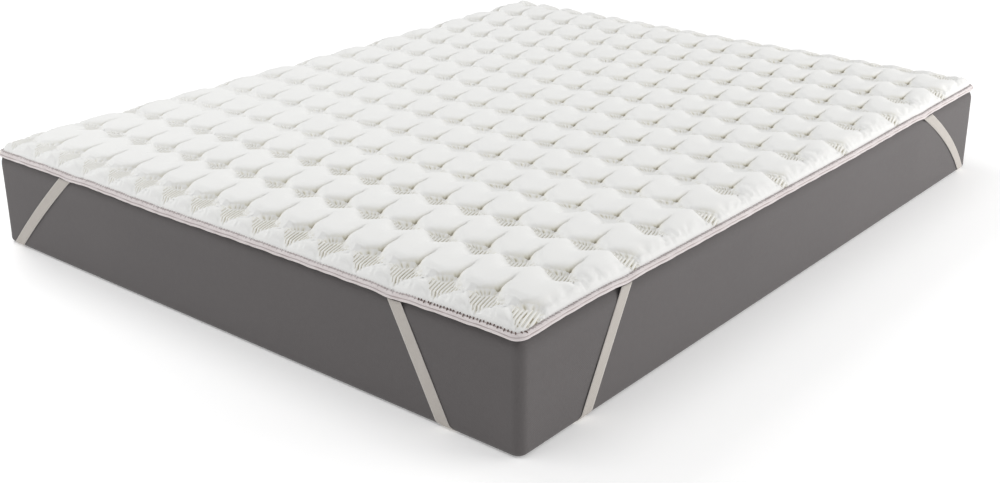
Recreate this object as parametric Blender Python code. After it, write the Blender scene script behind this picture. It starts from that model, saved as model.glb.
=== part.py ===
"""A quilted mattress topper, held by elastic corner straps on the plain mattress that it fits.

Run with: blender --background --python part.py
Metres, +Z up. The origin is on the floor under the middle of the mattress, with +X along its length.
"""

import math

import bmesh
import bpy
from mathutils import Vector

# ---- the mattress ----
MATTRESS_LENGTH = 2.00
MATTRESS_WIDTH = 1.60
MATTRESS_HEIGHT = 0.234
CORNER_RADIUS = 0.022  # of the upright corners, seen from above
CORNER_STEPS = 4  # facets round each of those corners
LEAST_RADIUS = 0.002  # of the corners of the flat top, where the edge round it has eaten theirs away
TOP_ROUND = 0.034  # of the edge round the top
FOOT_ROUND = 0.012  # of the edge round the underside
ROUND_STEPS = 4  # facets across each of those edges

# ---- the quilting: columns of diamond tufts, each column half a pillow out of step with the next ----
PILLOW_LENGTH = 0.1448  # along X, from one column of tufts to the next
PILLOW_PITCH = 0.0958  # along Y, from one tuft to the next in its column
FIRST_COLUMN = -0.9375  # X of the first column
FIRST_TUFT = -0.777  # Y of the first tuft in that column
TUFT_NOSE_SIDE = 0.024  # from a tuft's middle to the tip of its flat diamond under a pillow's nose
TUFT_TAIL_SIDE = 0.020  # and to the tip at the tail of the pillow before it
EDGE_TAIL_SIDE = 0.048  # the same for the first column's tufts, which reach the binding
TUFT_HALF_WIDTH = 0.042  # along Y, of all of them
EDGE_SHIFT = 0.010  # how much nearer the rim the first column's tufts sit than the pattern says
EDGE_NOSE_SIDE = 0.034  # from the middle of those to their tip under a pillow's nose
VALLEY_THICKNESS = 0.013  # of the pad at its tufts
CREST_THICKNESS = 0.031  # of the pad in the middle of a pillow
NOSE_LENGTH = 0.030  # distance over which a pillow rises from the tufts behind it
TAIL_LENGTH = 0.068  # and falls to the next one
CREASE_DEPTH = 0.70  # share of the crown that the crease in front of a tuft takes away
CREASE_SPREAD = 0.012  # how wide that crease is
CREASE_START = 0.34  # where the crease begins to fade, in pillow lengths from its tuft
CREASE_END = 0.62  # and where it has gone
JOINT_CROWN = 0.66  # crown in the column between two tufts, where their points meet
JOINT_START = 0.30  # where it begins to rise, in half pitches from a tuft
HEM_CROWN = 0.55  # crown of the half pillows before the first column
CROWN_SPREAD = 0.12  # how much flatter the flattest pillows are than the fullest, as a share
FLATTER = 0.36  # how much flatter the pillows are once they are well in from the short side at -X
FLATTER_START = -0.86  # X where they begin to be
FLATTER_END = -0.40  # and where they have become it
MOST_CROWN = 1.15  # no pillow is fuller than this
GRID_SHARES_X = (0.0, 0.17, 0.36, 0.62, 0.86)  # grid lines of the pad along a pillow, in its lengths
GRID_SHARES_Y = (0.0, 0.25, 0.5, 0.75)  # and from one tuft to the next, in pitches

# Where the pillows are fuller than elsewhere, or flatter where the amount is negative, and how far that
# reaches.
FULL_PATCHES = (
    {"x": -1.00, "y": 0.80, "amount": -0.56, "reach": 0.48},
    {"x": 0.95, "y": 0.80, "amount": 0.42, "reach": 0.55},
)

# ---- the pad's rim and the tape that binds it ----
# An inset is measured in from the binding's outermost line.
OVERHANG = 0.004  # how far the binding stands out past the mattress's side
TAPE = 0.0015  # thickness of the binding
TAPE_BULGE = 0.003  # inset of the tape's folds, behind the bulging middle of its face
TAPE_END = 0.0105  # inset of the tape's two ends, over and under the pad
TAPE_GAP = 0.0009  # between the tape and the pad inside it
PAD_INSET = TAPE_BULGE + TAPE + TAPE_GAP  # of the pad's rim
PAD_GAP = 0.0040  # between the pad and the mattress
RIM_THICKNESS = 0.0055  # of the pad, inside the tape
RIM_RISE = 0.048  # distance over which the pad rises from the tape's end to its full crown
RIM_DROP = 0.011  # how far the rim sinks over the mattress's edge
DROP_REACH = 0.030  # inset where the rim starts to sink
BASE_INSET = 0.022  # of the pad's flat underside, less than the corners' radius so that its outline is whole
STRAP_DIP = 0.0035  # how much further each strap pulls the rim down
STRAP_DIP_REACH = 0.030  # how far along the rim that pull is felt
SCALLOP = 0.0006  # rise and fall of the rim between the pillows of the short sides
RIM_WANDER = 0.0006  # slow rise and fall of the rim
RIM_WAVER = 0.0018  # how far the rim wanders inwards
WAVER_REACH = 0.060  # inset where that wandering has gone
SMALLEST_CELL = 0.0150  # of the pad's grid, beside its edge and its corners
FAN_DEGREES = (-22.5, 0, 22.5)  # points of the rim round each corner, from its middle

# Where the rim sinks deeper than elsewhere, or less where the depth is negative, and how far along that is
# felt.
RIM_SAGS = (
    {"x": -1.00, "y": 0.20, "depth": 0.0065, "reach": 0.22},
    {"x": -1.00, "y": 0.80, "depth": 0.0065, "reach": 0.34},
    {"x": -1.00, "y": -0.80, "depth": 0.0015, "reach": 0.06},
    {"x": -0.80, "y": -0.80, "depth": -0.0078, "reach": 0.18},
    {"x": 0.25, "y": -0.80, "depth": 0.0034, "reach": 0.26},
    {"x": 0.10, "y": 0.80, "depth": 0.0030, "reach": 0.30},
)

# ---- the straps ----
STRAP_THICKNESS = 0.0012
STRAP_STANDOFF = 0.0006  # between a strap and the mattress's side
STRAP_FLOOR_GAP = 0.0002  # a strap under the mattress is pressed into it, just clear of the floor
STRAP_TOP_GAP = 0.0006  # between a strap's end and the underside of the binding
GROOVE_GAP = 0.0004  # clearance over a strap in the groove that it presses
GROOVE_SIDE = 0.0015  # and beside it
GROOVE_DEEPER = 0.002  # how far the groove's cutter stands out of the mattress
SIDE_STATIONS = 4  # rows of points down the flat of a side, before its round foot
LANES = (-1, 0, 1)  # lines of points along a strap: its edge nearer the corner, its middle, its other edge

# For each corner: the signs of its X and Y and its strap's width, then for the short side (the face across
# X) and the long side (across Y) how far from the corner the strap's middle is at the mattress's top and at
# its foot, and how far it bows towards the corner halfway up.
STRAPS = {
    "near": {
        "x": -1, "y": -1, "width": 0.030,
        "short_top": 0.298, "short_foot": 0.174, "short_bow": 0.0,
        "long_top": 0.316, "long_foot": 0.188, "long_bow": 0.0,
    },
    "left": {
        "x": -1, "y": 1, "width": 0.027,
        "short_top": 0.298, "short_foot": 0.046, "short_bow": 0.008,
        "long_top": 0.310, "long_foot": 0.048, "long_bow": 0.010,
    },
    "right": {
        "x": 1, "y": -1, "width": 0.027,
        "short_top": 0.305, "short_foot": 0.046, "short_bow": 0.010,
        "long_top": 0.340, "long_foot": 0.040, "long_bow": 0.032,
    },
    "back": {
        "x": 1, "y": 1, "width": 0.027,
        "short_top": 0.300, "short_foot": 0.048, "short_bow": 0.008,
        "long_top": 0.320, "long_foot": 0.046, "long_bow": 0.012,
    },
}  # fmt: skip

HALF_LENGTH = MATTRESS_LENGTH / 2
HALF_WIDTH = MATTRESS_WIDTH / 2
OUTER_X = HALF_LENGTH + OVERHANG
OUTER_Y = HALF_WIDTH + OVERHANG
OUTER_RADIUS = CORNER_RADIUS + OVERHANG
GRID_INSET = TAPE_END + TAPE_GAP  # of the outline of the pad's quilted grid
PAD_BASE = MATTRESS_HEIGHT + PAD_GAP
TINY = 1e-6


# ---- helpers ----


def clear_scene():
    for obj in list(bpy.data.objects):
        bpy.data.objects.remove(obj, do_unlink=True)


def material(name, colour, roughness):
    made = bpy.data.materials.new(name)
    made.use_nodes = True
    shader = made.node_tree.nodes["Principled BSDF"]
    shader.inputs["Base Color"].default_value = (*colour, 1.0)
    shader.inputs["Roughness"].default_value = roughness
    shader.inputs["Metallic"].default_value = 0.0
    return made


def add_object(name, bm, mat, sharp_degrees=50):
    """Turns a bmesh into a named object with its faces pointing out."""
    bmesh.ops.recalc_face_normals(bm, faces=bm.faces)
    mesh = bpy.data.meshes.new(name)
    bm.to_mesh(mesh)
    bm.free()
    mesh.shade_smooth()
    mesh.set_sharp_from_angle(angle=math.radians(sharp_degrees))
    obj = bpy.data.objects.new(name, mesh)
    bpy.context.scene.collection.objects.link(obj)
    if mat:
        obj.data.materials.append(mat)
    return obj


def bridge_rings(bm, rings, closed):
    """Faces between each ring of vertices and the next, and from the last to the first where closed."""
    count = len(rings[0])
    pairs = list(zip(rings, rings[1:]))
    if closed:
        pairs.append((rings[-1], rings[0]))
    for ring, following in pairs:
        for k in range(count):
            after = (k + 1) % count
            bm.faces.new((ring[k], ring[after], following[after], following[k]))


def smooth_step(low, high, value):
    t = min(max((value - low) / (high - low), 0.0), 1.0)
    return t * t * (3 - 2 * t)


def dome(t):
    """A quarter of an ellipse: steep at 0, level from 1 on."""
    t = min(max(t, 0.0), 1.0)
    return math.sqrt(1 - (1 - t) ** 2)


# ---- mattress ----


def rounded_outline(half_x, half_y, radius, steps):
    """Points round a rectangle with rounded corners, anticlockwise from above."""
    points = []
    centres = ((half_x, half_y, 0), (-half_x, half_y, 90), (-half_x, -half_y, 180), (half_x, -half_y, 270))
    for corner_x, corner_y, start in centres:
        middle_x = corner_x - math.copysign(radius, corner_x)
        middle_y = corner_y - math.copysign(radius, corner_y)
        for k in range(steps + 1):
            angle = math.radians(start + 90 * k / steps)
            points.append((middle_x + radius * math.cos(angle), middle_y + radius * math.sin(angle)))
    return points


def mattress_levels():
    """(height, how far the outline is drawn in there) from the underside up."""
    levels = []
    for k in range(ROUND_STEPS + 1):
        angle = math.radians(90 * k / ROUND_STEPS)
        levels.append((FOOT_ROUND * (1 - math.cos(angle)), FOOT_ROUND * (1 - math.sin(angle))))
    for k in range(ROUND_STEPS + 1):
        angle = math.radians(90 * k / ROUND_STEPS)
        height = MATTRESS_HEIGHT - TOP_ROUND * (1 - math.sin(angle))
        levels.append((height, TOP_ROUND * (1 - math.cos(angle))))
    return levels


def make_mattress(mat):
    bm = bmesh.new()
    rings = []
    for height, drawn_in in mattress_levels():
        outline = rounded_outline(
            HALF_LENGTH - drawn_in,
            HALF_WIDTH - drawn_in,
            max(CORNER_RADIUS - drawn_in, LEAST_RADIUS),
            CORNER_STEPS,
        )
        rings.append([bm.verts.new((x, y, height)) for x, y in outline])
    bridge_rings(bm, rings, closed=False)
    bm.faces.new(rings[0])
    bm.faces.new(rings[-1])
    return add_object("mattress", bm, mat)


# ---- quilting ----


def column_of(x):
    """The column of tufts at or before x, and how far past it x is, in pillow lengths."""
    place = (x - FIRST_COLUMN) / PILLOW_LENGTH
    column = math.floor(place)
    return column, place - column


def off_tuft(column, y):
    """Signed distance along Y from y to the nearest tuft of a column."""
    stagger = 0.5 if column % 2 else 0.0
    place = (y - FIRST_TUFT) / PILLOW_PITCH - stagger
    return (place - round(place)) * PILLOW_PITCH


def tuft_reach(tip, across):
    """How far a tuft's flat diamond reaches along X towards its tip, this far across from its middle."""
    return tip * max(0.0, 1 - abs(across) / TUFT_HALF_WIDTH)


def fullness(x, y):
    """How full the quilting is about this place: some pillows are fuller than others."""
    even = 1 - FLATTER * smooth_step(FLATTER_START, FLATTER_END, x)
    share = even * (1 - CROWN_SPREAD * (0.5 + 0.5 * math.sin(17.0 * x + 3.0) * math.sin(23.0 * y + 1.0)))
    for patch in FULL_PATCHES:
        away = math.hypot(x - patch["x"], y - patch["y"]) / patch["reach"]
        share += patch["amount"] * math.exp(-away * away)
    return min(share, MOST_CROWN)


def slope(distance, length, across):
    """Share of the full crown this far from a column's diamonds, this far across from a tuft's middle."""
    joint = JOINT_CROWN * smooth_step(JOINT_START, 1.0, abs(across) / (PILLOW_PITCH / 2))
    return joint + (1 - joint) * dome(distance / length)


def crown(x, y):
    """Height of the quilting between 0, at the tufts, and 1, in the middle of the fullest pillow."""
    column, along = column_of(x)
    before = off_tuft(column, y)
    after = off_tuft(column + 1, y)
    to_line = (1 - along) * PILLOW_LENGTH - (EDGE_SHIFT if column == -1 else 0.0)
    to_after = to_line - tuft_reach(EDGE_TAIL_SIDE if column == -1 else TUFT_TAIL_SIDE, after)
    tail = slope(to_after, TAIL_LENGTH, after)
    if column < 0:
        return HEM_CROWN * tail
    from_line = along * PILLOW_LENGTH + (EDGE_SHIFT if column == 0 else 0.0)
    from_before = from_line - tuft_reach(EDGE_NOSE_SIDE if column == 0 else TUFT_NOSE_SIDE, before)
    nose = slope(from_before, NOSE_LENGTH, before)
    fading = 1 - smooth_step(CREASE_START, CREASE_END, along)
    crease = CREASE_DEPTH * fading * math.exp(-abs(before) / CREASE_SPREAD)
    return nose * tail * (1 - crease) * fullness(x, y)


# ---- the rim ----


def inset_of(x, y):
    """Distance from (x, y) out to the binding's outermost line."""
    corner_x = abs(x) - (OUTER_X - OUTER_RADIUS)
    corner_y = abs(y) - (OUTER_Y - OUTER_RADIUS)
    if corner_x > 0 and corner_y > 0:
        return OUTER_RADIUS - math.hypot(corner_x, corner_y)
    return min(OUTER_X - abs(x), OUTER_Y - abs(y))


def outward(x, y):
    """Unit vector from (x, y) towards the nearest point of the outermost line."""
    corner_x = abs(x) - (OUTER_X - OUTER_RADIUS)
    corner_y = abs(y) - (OUTER_Y - OUTER_RADIUS)
    if corner_x > 0 and corner_y > 0:
        away = Vector((math.copysign(corner_x, x), math.copysign(corner_y, y)))
        return away.normalized()
    if OUTER_X - abs(x) < OUTER_Y - abs(y):
        return Vector((math.copysign(1.0, x), 0.0))
    return Vector((0.0, math.copysign(1.0, y)))


def strap_tops():
    """Where each strap joins the rim: (x, y)."""
    places = []
    for strap in STRAPS.values():
        places.append((strap["x"] * OUTER_X, strap["y"] * (HALF_WIDTH - strap["short_top"])))
        places.append((strap["x"] * (HALF_LENGTH - strap["long_top"]), strap["y"] * OUTER_Y))
    return places


def rim_drop(x, y):
    """How far the outermost line sinks at a point on it."""
    drop = RIM_DROP + RIM_WANDER * math.sin(9.0 * x + 5.0 * y)
    for strap_x, strap_y in strap_tops():
        away = math.hypot(x - strap_x, y - strap_y) / STRAP_DIP_REACH
        drop += STRAP_DIP * math.exp(-away * away)
    for sag in RIM_SAGS:
        away = math.hypot(x - sag["x"], y - sag["y"]) / sag["reach"]
        drop += sag["depth"] * math.exp(-away * away)
    if OUTER_X - abs(x) < OUTER_RADIUS / 2:
        drop += SCALLOP * math.cos(2 * math.pi * (y - FIRST_TUFT) / PILLOW_PITCH)
    return drop


def rim_waver(x, y):
    """How far in the rim wanders at a point of the outermost line."""
    return RIM_WAVER * (0.5 - 0.5 * math.cos(11.0 * x) * math.cos(13.0 * y))


def settle(x, y, height):
    """Where a point of the pad or its binding comes to rest, once the rim sinks and wanders."""
    inset = inset_of(x, y)
    out = outward(x, y)
    edge_x = x + out.x * inset
    edge_y = y + out.y * inset
    waver = rim_waver(edge_x, edge_y) * max(1 - inset / WAVER_REACH, 0.0)
    drop = rim_drop(edge_x, edge_y) * max(1 - inset / DROP_REACH, 0.0)
    return Vector((x - out.x * waver, y - out.y * waver, height - drop))


# ---- pad ----


def pad_thickness(x, y):
    """Thickness of the pad at (x, y), from the tape's end to a pillow's crown."""
    quilted = VALLEY_THICKNESS + (CREST_THICKNESS - VALLEY_THICKNESS) * crown(x, y)
    share = dome((inset_of(x, y) - GRID_INSET) / RIM_RISE)
    return RIM_THICKNESS + (quilted - RIM_THICKNESS) * share


def grid_lines(half, first, step, shares):
    """Places of the pad's grid lines from one side to the other, keeping to the pattern of the tufts."""
    corner = half - (OUTER_RADIUS - GRID_INSET)
    lowest = math.floor((-half - first) / step)
    highest = math.ceil((half - first) / step)
    places = [first + step * (k + share) for k in range(lowest, highest + 1) for share in shares]
    inner = [place for place in places if abs(place) < corner - SMALLEST_CELL]
    return [-half, -corner, *inner, corner, half]


def round_corner(x, y):
    """Moves a point of the pad's square grid so that the grid's corners follow the round ones."""
    radius = OUTER_RADIUS - GRID_INSET
    middle_x = OUTER_X - OUTER_RADIUS
    middle_y = OUTER_Y - OUTER_RADIUS
    share_x = (abs(x) - middle_x) / radius
    share_y = (abs(y) - middle_y) / radius
    if share_x <= 0 or share_y <= 0:
        return x, y
    moved_x = middle_x + radius * share_x * math.sqrt(1 - share_y**2 / 2)
    moved_y = middle_y + radius * share_y * math.sqrt(1 - share_x**2 / 2)
    return math.copysign(moved_x, x), math.copysign(moved_y, y)


def grid_outline(lines_x, lines_y):
    """Points round the pad's grid, one for each of its lines, anticlockwise from above."""
    low_x, high_x = lines_x[0], lines_x[-1]
    low_y, high_y = lines_y[0], lines_y[-1]
    square = [(x, low_y) for x in lines_x[:-1]]
    square += [(high_x, y) for y in lines_y[:-1]]
    square += [(x, high_y) for x in reversed(lines_x[1:])]
    square += [(low_x, y) for y in reversed(lines_y[1:])]
    return [round_corner(x, y) for x, y in square]


def rim_stations(outline):
    """Stations round the rim: (number of the outline's point beside it, point). Each corner has a fan."""
    stations = []
    middle_x = OUTER_X - OUTER_RADIUS
    middle_y = OUTER_Y - OUTER_RADIUS
    radius = OUTER_RADIUS - GRID_INSET
    for number, (x, y) in enumerate(outline):
        if abs(x) <= middle_x + TINY or abs(y) <= middle_y + TINY:
            stations.append((number, (x, y)))
            continue
        centre = Vector((math.copysign(middle_x, x), math.copysign(middle_y, y)))
        towards = math.atan2(y - centre.y, x - centre.x)
        for degrees in FAN_DEGREES:
            angle = towards + math.radians(degrees)
            point = centre + radius * Vector((math.cos(angle), math.sin(angle)))
            stations.append((number, (point.x, point.y)))
    return stations


def at_inset(point, inset, height):
    """The settled place at this inset beside a point of the grid's outline."""
    x, y = point
    move = outward(x, y) * (GRID_INSET - inset)
    return settle(x + move.x, y + move.y, height)


def make_pad(lines_x, lines_y, mat):
    bm = bmesh.new()
    rows = []
    for y in lines_y:
        row = []
        for x in lines_x:
            at_x, at_y = round_corner(x, y)
            height = PAD_BASE + pad_thickness(at_x, at_y)
            row.append(bm.verts.new(settle(at_x, at_y, height)))
        rows.append(row)
    for low, high in zip(rows, rows[1:]):
        for k in range(len(lines_x) - 1):
            bm.faces.new((low[k], low[k + 1], high[k + 1], high[k]))
    outline = rows[0][:-1]
    outline += [row[-1] for row in rows[:-1]]
    outline += reversed(rows[-1][1:])
    outline += reversed([row[0] for row in rows[1:]])
    stations = rim_stations(grid_outline(lines_x, lines_y))
    rings = []
    for height in (RIM_THICKNESS, 0.0):
        rings.append([bm.verts.new(at_inset(point, PAD_INSET, PAD_BASE + height)) for _, point in stations])
    flat = [at_inset(point, BASE_INSET, PAD_BASE) for _, point in stations]
    rings.append([bm.verts.new((place.x, place.y, PAD_BASE)) for place in flat])
    for k, (number, _) in enumerate(stations):
        after = (k + 1) % len(stations)
        beside = [outline[number], outline[stations[after][0]]]
        corners = [rings[0][after], rings[0][k], *dict.fromkeys(beside)]
        bm.faces.new(corners)
    bridge_rings(bm, rings, closed=False)
    base = bm.faces.new(rings[-1])
    bmesh.ops.poke(bm, faces=[base])
    return add_object("quilted_pad", bm, mat)


# ---- binding ----


def tape_profile():
    """The folded tape's section: (inset, height above the pad's base)."""
    low = -TAPE_GAP
    high = RIM_THICKNESS + TAPE_GAP
    inner = TAPE_BULGE + TAPE
    outside = [
        (TAPE_END, high + TAPE),
        (TAPE_BULGE, high + TAPE),
        (0.0, RIM_THICKNESS / 2),
        (TAPE_BULGE, low - TAPE),
        (TAPE_END, low - TAPE),
    ]
    inside = [
        (TAPE_END, low),
        (inner, low),
        (inner, high),
        (TAPE_END, high),
    ]
    return outside + inside


def make_binding(lines_x, lines_y, mat):
    bm = bmesh.new()
    rings = []
    profile = tape_profile()
    for _, point in rim_stations(grid_outline(lines_x, lines_y)):
        rings.append([bm.verts.new(at_inset(point, inset, PAD_BASE + height)) for inset, height in profile])
    bridge_rings(bm, rings, closed=True)
    return add_object("edge_binding", bm, mat)


# ---- straps ----


def round_point(turn, radius, stand):
    """Round one of the mattress's long edges: (in, towards the flat face), at this angle from its side."""
    reach = radius + stand
    return radius - reach * math.cos(turn), radius - reach * math.sin(turn)


def under_tape(strap, side, along):
    """Height of a strap's end, just under the binding, this far along the side from the corner."""
    edge = to_world(strap, side, (along, 0.0, 0.0))
    drop = rim_drop(edge.x, edge.y) * (1 - TAPE_BULGE / DROP_REACH)
    return PAD_BASE - drop - TAPE_GAP - TAPE - STRAP_TOP_GAP


def half_strap(strap, side, stand_side, stand_foot, extra_width):
    """One face of half a strap, from under the binding down a side and in under the corner.

    Returns rows of points across the strap, the one nearest the corner first. A point is (along the side
    from the corner, in from the side, up). stand_side and stand_foot are distances out from the mattress.
    """
    half_width = strap["width"] / 2 + extra_width
    other = "long" if side == "short" else "short"
    foot = strap[side + "_foot"]
    other_foot = strap[other + "_foot"]
    rise = strap[side + "_top"] - foot
    bow = strap[side + "_bow"]

    def middle_at(up):
        share = up / MATTRESS_HEIGHT
        return foot + rise * share - bow * 4 * share * (1 - share)

    def spread_at(up):
        slant = (rise - bow * 4 * (1 - 2 * up / MATTRESS_HEIGHT)) / MATTRESS_HEIGHT
        return half_width * math.hypot(1, slant)

    spread_foot = half_width * math.hypot(foot, other_foot) / other_foot
    points = []
    for k in range(SIDE_STATIONS):
        row = []
        for lane in LANES:
            highest = under_tape(strap, side, strap[side + "_top"] + lane * half_width)
            up = highest + (FOOT_ROUND - highest) * k / SIDE_STATIONS
            row.append((middle_at(up) + lane * spread_at(up), -stand_side, up))
        points.append(row)
    middle_start = middle_at(FOOT_ROUND)
    middle_end = foot * (1 - FOOT_ROUND / other_foot)
    for k in range(ROUND_STEPS + 1):
        share = k / ROUND_STEPS
        middle = middle_start + (middle_end - middle_start) * share
        spread = spread_at(FOOT_ROUND) * (1 - share) + spread_foot * share
        stand = stand_side + (stand_foot - stand_side) * smooth_step(0.0, 1.0, share)
        inward, up = round_point(math.pi / 2 * share, FOOT_ROUND, stand)
        points.append([(middle + lane * spread, inward, up) for lane in LANES])
    return points


def wrap(along, inward):
    """Takes a point that is within reach of the mattress's upright corner round it: (along, in)."""
    if along >= CORNER_RADIUS:
        return along, inward
    turn = 1 - along / CORNER_RADIUS
    reach = CORNER_RADIUS - inward
    return CORNER_RADIUS - reach * math.sin(turn), CORNER_RADIUS - reach * math.cos(turn)


def to_world(strap, side, point):
    """From a corner's own frame to the world."""
    along, inward = wrap(*point[:2])
    up = point[2]
    if side == "short":
        from_side, from_end = inward, along
    else:
        from_side, from_end = along, inward
    return Vector((strap["x"] * (HALF_LENGTH - from_side), strap["y"] * (HALF_WIDTH - from_end), up))


def strap_solid(strap, inner, outer, extra_width):
    """A closed ribbon down one side, under the corner and up the other.

    inner and outer are its distances out from the mattress's skin, as (on the side, under the foot).
    """
    bm = bmesh.new()
    rings = []
    for side in ("short", "long"):
        near = half_strap(strap, side, *inner, extra_width)
        far = half_strap(strap, side, *outer, extra_width)
        half = []
        for near_row, far_row in zip(near, far):
            ring = [to_world(strap, side, point) for point in near_row + far_row[::-1]]
            half.append([bm.verts.new(corner) for corner in ring])
        rings += half if side == "short" else reversed(half)
    bridge_rings(bm, rings, closed=False)
    bm.faces.new(rings[0])
    bm.faces.new(rings[-1])
    return bm


def make_strap(name, strap, mat):
    inner = (STRAP_STANDOFF, -STRAP_FLOOR_GAP - STRAP_THICKNESS)
    outer = (STRAP_STANDOFF + STRAP_THICKNESS, -STRAP_FLOOR_GAP)
    bm = strap_solid(strap, inner, outer, 0.0)
    return add_object("corner_strap_" + name, bm, mat)


def cut_groove(mattress, name, strap):
    """Presses a strap's groove into the underside of the mattress."""
    inner = (STRAP_STANDOFF / 2, -STRAP_FLOOR_GAP - STRAP_THICKNESS - GROOVE_GAP)
    outer = (GROOVE_DEEPER, GROOVE_DEEPER)
    bm = strap_solid(strap, inner, outer, GROOVE_SIDE)
    bmesh.ops.triangulate(bm, faces=bm.faces)
    cutter = add_object("groove_" + name, bm, None)
    cutter.hide_render = True
    cutter.display_type = "WIRE"
    groove = mattress.modifiers.new("groove_" + name, "BOOLEAN")
    groove.operation = "DIFFERENCE"
    groove.solver = "EXACT"
    groove.object = cutter


# ---- the object ----


def main():
    clear_scene()
    quilt_white = material("quilt_white", (0.86, 0.86, 0.84), 0.85)
    tape_mauve = material("tape_mauve", (0.62, 0.54, 0.54), 0.70)
    elastic_beige = material("elastic_beige", (0.55, 0.52, 0.47), 0.75)
    mattress_grey = material("mattress_grey", (0.11, 0.105, 0.105), 0.80)

    mattress = make_mattress(mattress_grey)
    lines_x = grid_lines(OUTER_X - GRID_INSET, FIRST_COLUMN, PILLOW_LENGTH, GRID_SHARES_X)
    lines_y = grid_lines(OUTER_Y - GRID_INSET, FIRST_TUFT, PILLOW_PITCH, GRID_SHARES_Y)
    make_pad(lines_x, lines_y, quilt_white)
    make_binding(lines_x, lines_y, tape_mauve)
    for name, strap in STRAPS.items():
        make_strap(name, strap, elastic_beige)
        cut_groove(mattress, name, strap)


main()
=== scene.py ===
"""A quilted mattress topper on its mattress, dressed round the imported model.

Metres, +Z up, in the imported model's frame: +X along the mattress, +Y across it, the floor at 0.
"""

import math

import bmesh
import bpy
import numpy as np
from mathutils import Matrix, Vector


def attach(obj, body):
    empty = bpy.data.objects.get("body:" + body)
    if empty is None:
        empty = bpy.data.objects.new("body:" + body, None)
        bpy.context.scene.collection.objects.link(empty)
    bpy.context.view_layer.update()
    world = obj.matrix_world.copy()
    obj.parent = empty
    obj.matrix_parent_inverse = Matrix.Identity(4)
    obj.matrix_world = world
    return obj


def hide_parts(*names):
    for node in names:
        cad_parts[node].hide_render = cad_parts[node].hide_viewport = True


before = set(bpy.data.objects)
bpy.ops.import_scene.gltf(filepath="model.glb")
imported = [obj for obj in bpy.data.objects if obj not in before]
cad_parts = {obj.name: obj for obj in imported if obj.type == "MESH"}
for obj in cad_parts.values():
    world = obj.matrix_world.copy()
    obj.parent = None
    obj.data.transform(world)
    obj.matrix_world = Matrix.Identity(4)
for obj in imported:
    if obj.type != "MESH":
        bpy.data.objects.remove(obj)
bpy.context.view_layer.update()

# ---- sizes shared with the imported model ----
MATTRESS_LENGTH = 2.00
MATTRESS_WIDTH = 1.60
MATTRESS_HEIGHT = 0.234
CORNER_RADIUS = 0.022
TOP_ROUND = 0.034
FOOT_ROUND = 0.012

PILLOW_LENGTH = 0.1448
PILLOW_PITCH = 0.0958
FIRST_COLUMN = -0.9375
FIRST_TUFT = -0.777
TUFT_NOSE_SIDE = 0.024  # from a tuft's middle to its tip there
TUFT_TAIL_SIDE = 0.020
EDGE_TAIL_SIDE = 0.048  # of the first column's tufts, which reach the binding
TUFT_HALF_WIDTH = 0.042
EDGE_SHIFT = 0.010  # how much nearer the rim the first column's tufts sit
EDGE_NOSE_SIDE = 0.034
VALLEY_THICKNESS = 0.013
CREST_THICKNESS = 0.031
NOSE_LENGTH = 0.030
TAIL_LENGTH = 0.068
CREASE_DEPTH = 0.70
CREASE_SPREAD = 0.0036
CREASE_START = 0.35
CREASE_END = 0.66
CREASE_LEAN = 0.05  # how far a crease leans over to +Y, for each metre along X
LEAN_START = 0.62  # where it starts to come back, in pillow lengths from its tuft
LEAN_END = 0.96  # and where it is back
JOINT_CROWN = 0.66
JOINT_START = 0.30
HEM_CROWN = 0.55
CROWN_SPREAD = 0.12
FLATTER = 0.36
FLATTER_START = -0.86
FLATTER_END = -0.40
MOST_CROWN = 1.15
FULL_PATCHES = (
    dict(x=-1.00, y=0.80, amount=-0.56, reach=0.48),
    dict(x=0.95, y=0.80, amount=0.42, reach=0.55),
)

OVERHANG = 0.004
TAPE = 0.0015
TAPE_BULGE = 0.003
TAPE_END = 0.0105
TAPE_GAP = 0.0009
PAD_INSET = TAPE_BULGE + TAPE + TAPE_GAP
PAD_GAP = 0.0040
RIM_THICKNESS = 0.0055
RIM_RISE = 0.048
RIM_DROP = 0.011
DROP_REACH = 0.030
BASE_INSET = 0.022
STRAP_DIP = 0.0035
STRAP_DIP_REACH = 0.030
SCALLOP = 0.0006
RIM_WANDER = 0.0006
RIM_WAVER = 0.0018
WAVER_REACH = 0.060

RIM_SAGS = (
    dict(x=-1.00, y=0.20, depth=0.0065, reach=0.22),
    dict(x=-1.00, y=0.80, depth=0.0065, reach=0.34),
    dict(x=-1.00, y=-0.80, depth=0.0015, reach=0.06),
    dict(x=-0.80, y=-0.80, depth=-0.0078, reach=0.18),
    dict(x=0.25, y=-0.80, depth=0.0034, reach=0.26),
    dict(x=0.10, y=0.80, depth=0.0030, reach=0.30),
)

STRAP_THICKNESS = 0.0012
STRAP_STANDOFF = 0.0006
STRAP_FLOOR_GAP = 0.0002
GROOVE_GAP = 0.0004
GROOVE_SIDE = 0.0015
GROOVE_DEEPER = 0.002
STRAP_TOP_GAP = 0.0006
STRAPS = {
    "near": dict(x=-1, y=-1, width=0.030, short_top=0.298, short_foot=0.174, short_bow=0.0,
                 long_top=0.316, long_foot=0.188, long_bow=0.0),
    "left": dict(x=-1, y=1, width=0.027, short_top=0.298, short_foot=0.046, short_bow=0.008,
                 long_top=0.310, long_foot=0.048, long_bow=0.010),
    "right": dict(x=1, y=-1, width=0.027, short_top=0.305, short_foot=0.046, short_bow=0.010,
                  long_top=0.340, long_foot=0.040, long_bow=0.032),
    "back": dict(x=1, y=1, width=0.027, short_top=0.300, short_foot=0.048, short_bow=0.008,
                 long_top=0.320, long_foot=0.046, long_bow=0.012),
}

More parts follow.
